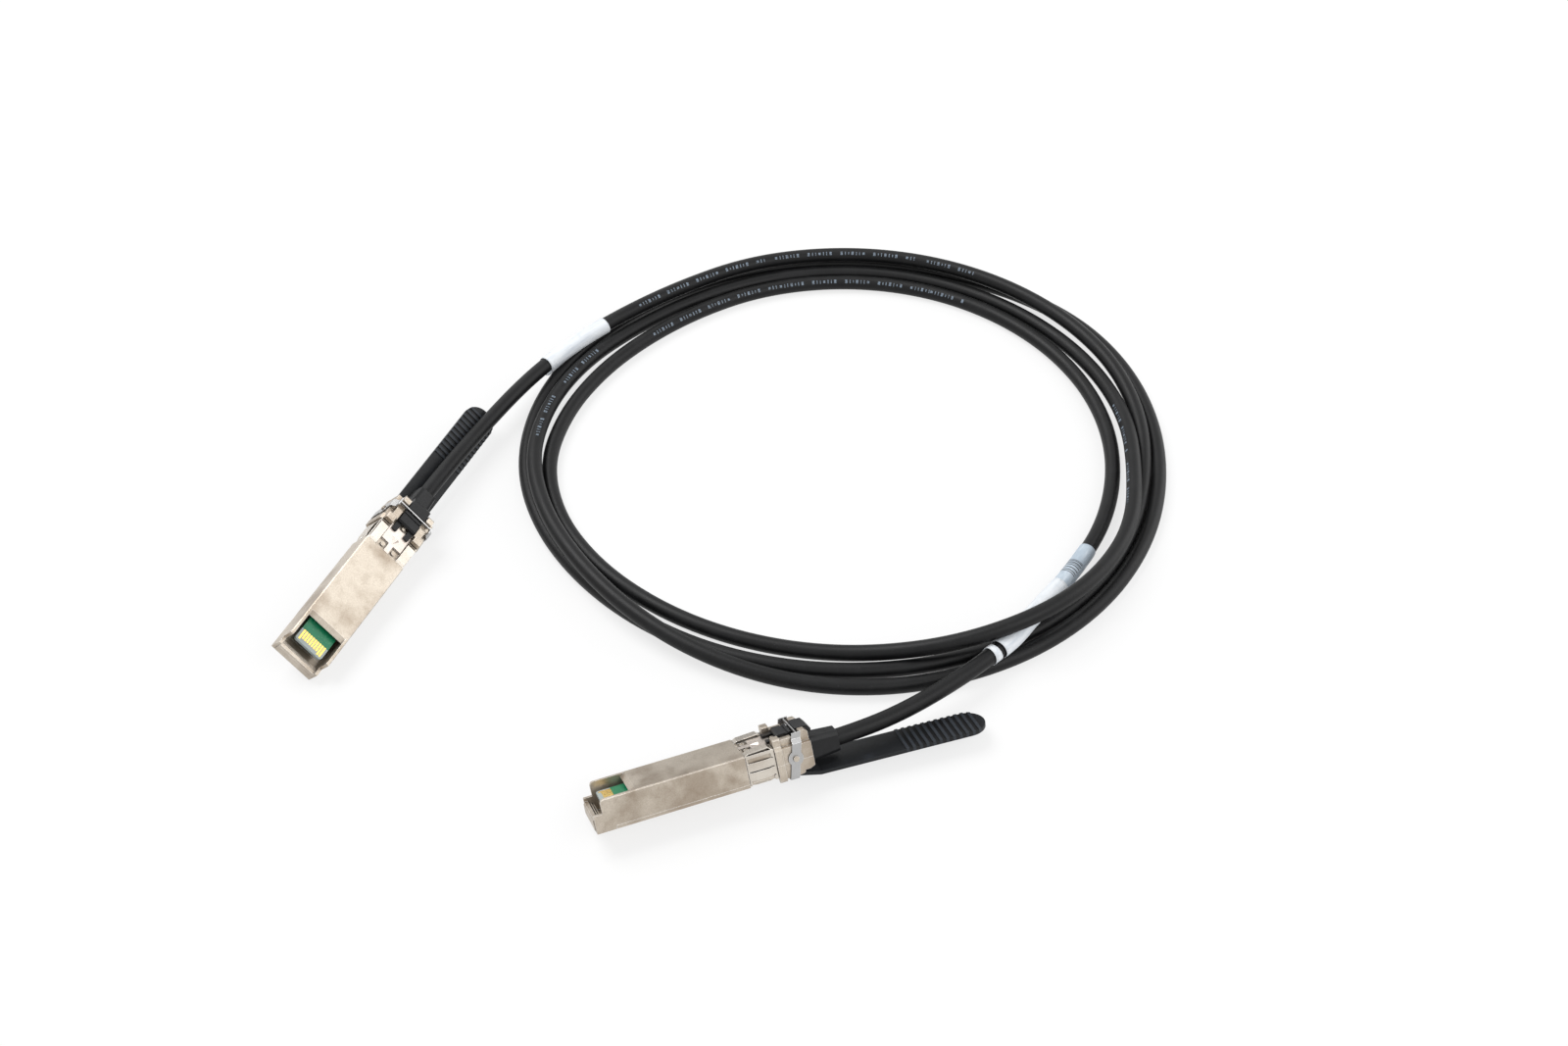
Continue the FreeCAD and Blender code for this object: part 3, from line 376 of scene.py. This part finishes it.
def film(name, light, shade, marked=False):
    """A label's film: soft streaks along it, and plain bars on its printed part."""
    n = Nodes(name)
    uv = n.add("ShaderNodeTexCoord").outputs["UV"]
    split = n.add("ShaderNodeSeparateXYZ")
    n.put(uv, split.inputs[0])
    across, round_it = split.outputs[0], split.outputs[1]
    stretched = n.vector("MULTIPLY", uv, (3.0, 14.0, 1.0))
    streak = n.step(n.noise(FILM_SCALE, 4.0, 0.6, stretched), 0.4, 0.75)
    mottle = n.noise(0.5, 3.0)
    colour = n.mix(streak, light, shade)
    colour = n.mix(n.step(mottle, 0.55, 0.8, 0.0, 0.4), colour, shade)
    if marked:
        wave, other = (n.math("SINE", n.math("MULTIPLY", across, rate)) for rate in BAR_WAVES)
        bars = n.step(n.math("ADD", wave, other), 0.1, 0.3)
        for value, low, high in ((across, *BAR_ALONG), (round_it, *BAR_ROUND)):
            bars = n.math("MULTIPLY", bars, n.math("GREATER_THAN", value, low))
            bars = n.math("MULTIPLY", bars, n.math("LESS_THAN", value, high))
        colour = n.mix(bars, colour, BAR_INK)
    return n.finish(colour, n.step(mottle, 0.3, 0.7, 0.42, 0.6), n.bump(mottle, 0.02))


def ribs_from(plug, aside, yaw, turn_x=58.8, front_x=81.5):
    """The start and direction of a strap's ribs; the strap turns sideways at turn_x."""
    origin, along = Vector(plug[0]), Vector(plug[1])
    way = along * math.cos(math.radians(yaw)) + Vector(aside) * math.sin(math.radians(yaw))
    return tuple(origin + along * turn_x * MM + way * (front_x - turn_x) * MM), tuple(way)


RIBS_A = ribs_from(PLUG_A, (-0.65534, 0.27565, 0.70324), 0.0)
RIBS_B = ribs_from(PLUG_B, (-0.28683, 0.80491, -0.51947), -2.4)

# the last colour of each is the edge colour: partly rubbed metal, partly painted highlight
CASTING = metal("casting", (0.59, 0.53, 0.45), (0.27, 0.21, 0.155), 0.85, 0.27, (0.97, 0.95, 0.92))
SPRING = metal("spring", (0.68, 0.63, 0.56), (0.34, 0.28, 0.22), 0.5, 0.17, (0.98, 0.97, 0.95),
               speckle=0.25)
LATCH = metal("latch", (0.70, 0.635, 0.58), (0.45, 0.37, 0.31), 0.4, 0.24, (0.86, 0.83, 0.79),
              speckle=0.25)
SHEET = metal("bail_sheet", (0.46, 0.46, 0.46), (0.27, 0.26, 0.25), 0.35, 0.18, (0.92, 0.92, 0.92),
              grain=0.006, speckle=0.15, brushed=(1.0, 0.25, 1.0))
CRIMP = metal("crimp", (0.55, 0.47, 0.33), (0.25, 0.20, 0.13), 0.5, 0.25, (0.9, 0.85, 0.7))
FOIL = metal("foil", (0.72, 0.72, 0.74), (0.4, 0.4, 0.42), 0.3, 0.2, (0.95, 0.95, 0.96),
             grain=0.03)
MOULDING = plastic("moulding", (0.0045, 0.0048, 0.0055), (0.03, 0.032, 0.036), 0.3, 0.03)
SLIDER = plastic("slider", (0.003, 0.0032, 0.004), (0.03, 0.033, 0.039), 0.26, 0.02, 2.8, 0.1)
RESIN = plastic("resin", (0.02, 0.02, 0.02), (0.06, 0.06, 0.06), 0.35, 0.01, 4.0, 0.05)
GOLD = gold()
JACKET = jacket()
SLOTS = {"die_cast_metal": CASTING, "spring_sheet": SPRING, "latch_sheet": LATCH,
         "bail_sheet": SHEET, "crimp_metal": CRIMP, "black_moulding": MOULDING,
         "black_plastic": SLIDER, "gold": GOLD, "chip_resin": RESIN, "foil_pairs": FOIL}


def paint(piece, material):
    piece.data.materials.clear()
    piece.data.materials.append(material)


def paint_nodes():
    """Every CAD node that stays takes the material of its slot."""
    slots = {row["node"]: row["material_slot"] for row in frame["record"]["subparts"]}
    for name, piece in frame["nodes"].items():
        if slots[name] in SLOTS:
            paint(piece, SLOTS[slots[name]])
    paint(frame["nodes"]["card_a"], laminate("laminate_a", PLUG_A))
    paint(frame["nodes"]["card_b"], laminate("laminate_b", PLUG_B))
    for letter, ribs in (("a", RIBS_A), ("b", RIBS_B)):
        rubber = plastic(f"strap_{letter}", (0.0055, 0.0065, 0.008), (0.030, 0.036, 0.045),
                         0.34, 0.02, 1.8, 0.2, ribs)
        paint(frame["nodes"][f"pull_strap_{letter}"], rubber)


paint_nodes()

# ---- what lies along the cable ---------------------------------------------------

class Line:
    """The cable's middle line, read from its own spline."""

    def __init__(self, curve):
        data = curve.data.copy()
        data.bevel_depth = 0
        bare = bpy.data.objects.new("line", data)
        bpy.context.scene.collection.objects.link(bare)
        graph = bpy.context.evaluated_depsgraph_get()
        mesh = bpy.data.meshes.new_from_object(bare.evaluated_get(graph))
        self.points = [vertex.co.copy() for vertex in mesh.vertices]
        bpy.data.objects.remove(bare)
        self.reach = [0.0]
        for a, b in zip(self.points, self.points[1:]):
            self.reach.append(self.reach[-1] + (b - a).length)
        self.length = self.reach[-1]
        self.turned = self.angles()

    def angles(self):
        """How far round the coil each point is, in degrees clockwise from the far side."""
        found = []
        for point in self.points:
            x = point.x - COIL_CENTRE[0] * MM
            y = point.y - COIL_CENTRE[1] * MM
            angle = math.degrees(math.atan2(x, y))
            while found and angle < found[-1] - 180:
                angle += 360
            found.append(angle)
        return found

    def at_turn(self, angle):
        """Distance along the cable to an angle round the coil."""
        return next(s for s, turned in zip(self.reach, self.turned) if turned >= angle)

    def nearest(self, x, y, start, end):
        """Distance along the cable of the point nearest to a place, between two shares of it."""
        place = Vector((x * MM, y * MM, 0))
        choices = [i for i, s in enumerate(self.reach) if start <= s / self.length <= end]
        return self.reach[min(choices, key=lambda i: (self.points[i].xy - place.xy).length)]

    def at(self, s):
        """The point at a distance along the cable, with the directions along, aside and up."""
        s = min(max(s, 0.0), self.length * 0.9999)
        i = max(k for k in range(len(self.reach)) if self.reach[k] <= s)
        share = (s - self.reach[i]) / (self.reach[i + 1] - self.reach[i])
        last = len(self.points) - 1
        ahead = (self.points[min(i + 2, last)] - self.points[max(i - 1, 0)]).normalized()
        aside = ahead.cross(Vector((0, 0, 1))).normalized()
        return self.points[i].lerp(self.points[i + 1], share), ahead, aside, aside.cross(ahead)

    def on_skin(self, s, angle, radius):
        """A place at an angle round the cable from its top, and at a radius."""
        point, _, aside, up = self.at(s)
        return point + (up * math.cos(angle) + aside * math.sin(angle)) * radius


def new_piece(name, vertices, faces, material, uvs=None, thickness=0.0):
    mesh = bpy.data.meshes.new(name)
    mesh.from_pydata([tuple(v) for v in vertices], [], faces)
    if uvs:
        layer = mesh.uv_layers.new(name="UVMap")
        for loop in mesh.loops:
            layer.data[loop.index].uv = uvs[loop.vertex_index]
    for face in mesh.polygons:
        face.use_smooth = True
    piece = bpy.data.objects.new(name, mesh)
    bpy.context.scene.collection.objects.link(piece)
    paint(piece, material)
    if thickness:
        solid = piece.modifiers.new("thickness", "SOLIDIFY")
        solid.thickness = thickness * MM
        solid.offset = 1.0
    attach(piece, "root")
    return piece


def grid_faces(rows, columns):
    return [(i * columns + j, i * columns + j + 1, (i + 1) * columns + j + 1, (i + 1) * columns + j)
            for i in range(rows - 1) for j in range(columns - 1)]


WRAP_COLUMNS = 44        # vertices round a label
WRAP_STEP = 0.8          # spacing of its rows
WRAP_RISE = 0.16         # how far its last edge stands over its first
WRAP_LAP = 40.0          # degrees by which it overlaps itself
WRAP_SKEW = 0.25         # how far its ends waver
FILM_T = 0.1
CREASE = 0.05            # size of the creases
CREASE_LIFT = 0.6        # and the share of it that lifts the film
FLAP_FROM = 0.82         # share of the way round from which a loose edge lifts


def wrap(name, start, end, seam, material, lift=0.06, flare=0.0):
    """A label wrapped round the cable: a sheet whose last part lies over its first."""
    rows = max(3, round((end - start) / (WRAP_STEP * MM)))
    vertices, uvs = [], []
    for i in range(rows):
        u = i / (rows - 1)
        for j in range(WRAP_COLUMNS):
            v = j / (WRAP_COLUMNS - 1)
            turn = math.radians(seam + v * (360 + WRAP_LAP))
            crease = CREASE * math.sin(9.0 * u + 4.0 * v) * math.sin(23.0 * u - 7.0 * v)
            radius = CABLE_D / 2 + lift + WRAP_RISE * v + CREASE_LIFT * abs(crease)
            radius += flare * max(0.0, v - FLAP_FROM) / (1 - FLAP_FROM) * (1 - u) ** 3
            waver = WRAP_SKEW * MM * math.sin(5.0 * v + seam) * (1 - 2 * u)
            s = start + (end - start) * u + waver
            vertices.append(cable_line.on_skin(s, turn, radius * MM))
            uvs.append((u, v))
    return new_piece(name, vertices, grid_faces(rows, WRAP_COLUMNS), material,
                     uvs, FILM_T)


PRINT_LIFT = 0.02
TICK_H = 1.1             # height of a printed tick, round the cable
TICK_W = (0.3, 0.75)     # widths of the ticks, along it
TICK_GAP = 0.75
TICK_GROUP = 9           # places for ticks in a group
TICKS_IN_GROUP = 7       # of which this many are filled
TICK_COLUMNS = 5         # vertices across a tick's height


def printed(name, groups):
    """Plain ticks printed on the jacket in short runs."""
    vertices, faces = [], []
    for start, length, facing in groups:
        s = start
        count = 0
        while s < start + length:
            width = TICK_W[count * 7 % 3 == 0]
            if count % TICK_GROUP < TICKS_IN_GROUP:
                half = TICK_H / CABLE_D * (1.0 if count % 4 else 0.7)
                base = len(vertices)
                for i in range(2):
                    for j in range(TICK_COLUMNS):
                        turn = math.radians(facing) + half * (j / 2 - 1)
                        place = cable_line.on_skin(s + i * width * MM, turn,
                                                   (CABLE_D / 2 + PRINT_LIFT) * MM)
                        vertices.append(place)
                faces += [tuple(base + k for k in face) for face in grid_faces(2, TICK_COLUMNS)]
            s += (width + TICK_GAP) * MM
            count += 1
    return new_piece(name, vertices, faces, INK)


def ink():
    n = Nodes("ink")
    wear = n.noise(2.5, 3.0)
    colour = n.mix(n.step(wear, 0.4, 0.65), (0.19, 0.24, 0.30), (0.05, 0.06, 0.075))
    return n.finish(colour, n.step(wear, 0.3, 0.7, 0.4, 0.6), n.bump(wear, 0.01))


INK = ink()
cable_line = Line(cable)
FILM_WHITE = film("film_white", (0.80, 0.83, 0.86), (0.60, 0.65, 0.71))
FILM_CLEAR = film("film_clear", (0.42, 0.50, 0.58), (0.62, 0.69, 0.76), marked=True)
FILM_SHARE = 0.36        # share of label b that is the bluish film
FILM_UNDER = 1.0         # how far the film runs under the white part
RING_SPAN = (1.2, 3.6)   # where the narrow strip lies, beyond label b's end
label_a = wrap("label_wrap_a", cable_line.nearest(-32.0, 97.6, 0.0, 0.1),
               cable_line.nearest(-13.2, 116.5, 0.0, 0.1), 150.0, FILM_WHITE, flare=1.6)
label_b_end = cable_line.nearest(98.7, -16.6, 0.9, 1.0)
label_b_start = cable_line.nearest(126.8, 23.7, 0.9, 1.0)
label_b_joint = label_b_start + FILM_SHARE * (label_b_end - label_b_start)
label_b_film = wrap("label_film_b", label_b_start, label_b_joint + FILM_UNDER * MM, 200.0,
                    FILM_CLEAR)
label_b = wrap("label_wrap_b", label_b_joint, label_b_end, 170.0, FILM_WHITE, lift=0.3)
label_b_ring = wrap("label_ring_b", label_b_end + RING_SPAN[0] * MM,
                    label_b_end + RING_SPAN[1] * MM, 60.0, FILM_WHITE)
# runs of print: the angle round the coil where one starts, its length in metres, and the
# angle round the cable that it faces
PRINTS = ((-48, 0.046, 38), (-14, 0.046, 38), (20, 0.016, 40), (628, 0.020, 12), (646, 0.020, 20),
          (1030, 0.046, 40), (1066, 0.050, 42), (1103, 0.012, 42), (800, 0.022, 58),
          (819, 0.018, 58))
cable_print = printed("cable_print", [(cable_line.at_turn(t), length, facing)
                                      for t, length, facing in PRINTS])
paint(cable, JACKET)
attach(cable, "root")
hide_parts("cable_tail_a", "cable_tail_b", "cable_coil")
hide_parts("label_a")
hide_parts("label_b")

# ---- floor and light -------------------------------------------------------------
SKY_LIGHT = 0.5          # strength of the sky as a light
FLOOR_WHITE = 0.75       # share of plain white that the camera sees on the floor
FLOOR_HALF = 3           # metres from the floor's centre to its sides
FLOOR_GREY = 0.86


def make_floor():
    """A pale floor that shows nearly white to the camera and keeps the object's shadow."""
    mesh = bpy.data.meshes.new("floor")
    corners = ((-1, -1), (1, -1), (1, 1), (-1, 1))
    mesh.from_pydata([(x * FLOOR_HALF, y * FLOOR_HALF, 0) for x, y in corners], [], [(0, 1, 2, 3)])
    floor = bpy.data.objects.new("floor", mesh)
    bpy.context.scene.collection.objects.link(floor)
    n = Nodes("floor", specular=0.0)
    n.shader.inputs["Base Color"].default_value = (FLOOR_GREY, FLOOR_GREY, FLOOR_GREY, 1)
    n.shader.inputs["Roughness"].default_value = 0.9
    glow = n.add("ShaderNodeEmission")
    glow.inputs["Strength"].default_value = 1.0
    blend = n.add("ShaderNodeMixShader")
    n.put(n.math("MULTIPLY", n.seen(), FLOOR_WHITE), blend.inputs[0])
    n.put(n.shader.outputs[0], blend.inputs[1])
    n.put(glow.outputs[0], blend.inputs[2])
    n.put(blend.outputs[0], n.tree.nodes["Material Output"].inputs["Surface"])
    paint(floor, n.material)


def make_light(name, place, size, power, at=TARGET):
    data = bpy.data.lights.new(name, "AREA")
    data.size = size
    data.energy = power
    light = bpy.data.objects.new(name, data)
    light.location = place
    light.rotation_euler = (Vector(at) - Vector(place)).to_track_quat("-Z", "Y").to_euler()
    bpy.context.scene.collection.objects.link(light)


def make_world():
    """A sky that is plain white where it is seen and dimmer as a light."""
    world = bpy.data.worlds.new("world")
    world.use_nodes = True
    tree = world.node_tree
    rays = tree.nodes.new("ShaderNodeLightPath")
    either = tree.nodes.new("ShaderNodeMath")
    either.operation = "MAXIMUM"
    tree.links.new(rays.outputs["Is Camera Ray"], either.inputs[0])
    tree.links.new(rays.outputs["Is Transmission Ray"], either.inputs[1])
    both = tree.nodes.new("ShaderNodeMath")
    both.operation = "MAXIMUM"
    tree.links.new(either.outputs[0], both.inputs[0])
    tree.links.new(rays.outputs["Is Glossy Ray"], both.inputs[1])
    strength = tree.nodes.new("ShaderNodeMapRange")
    strength.inputs["To Min"].default_value = SKY_LIGHT
    strength.inputs["To Max"].default_value = 1.0
    tree.links.new(both.outputs[0], strength.inputs["Value"])
    tree.nodes["Background"].inputs["Color"].default_value = (1, 1, 1, 1)
    tree.links.new(strength.outputs["Result"], tree.nodes["Background"].inputs["Strength"])
    bpy.context.scene.world = world


make_floor()
# name, place, size in metres and power in watts
make_light("key", (-0.6, 0.5, 1.2), 0.9, 14)
make_light("fill", (0.8, -0.6, 0.9), 0.9, 5)
make_light("side", (0.85, 0.32, 0.36), 0.7, 2.2, at=(-0.08, 0.0, 0.01))
make_world()
bpy.context.scene.view_settings.view_transform = "Standard"
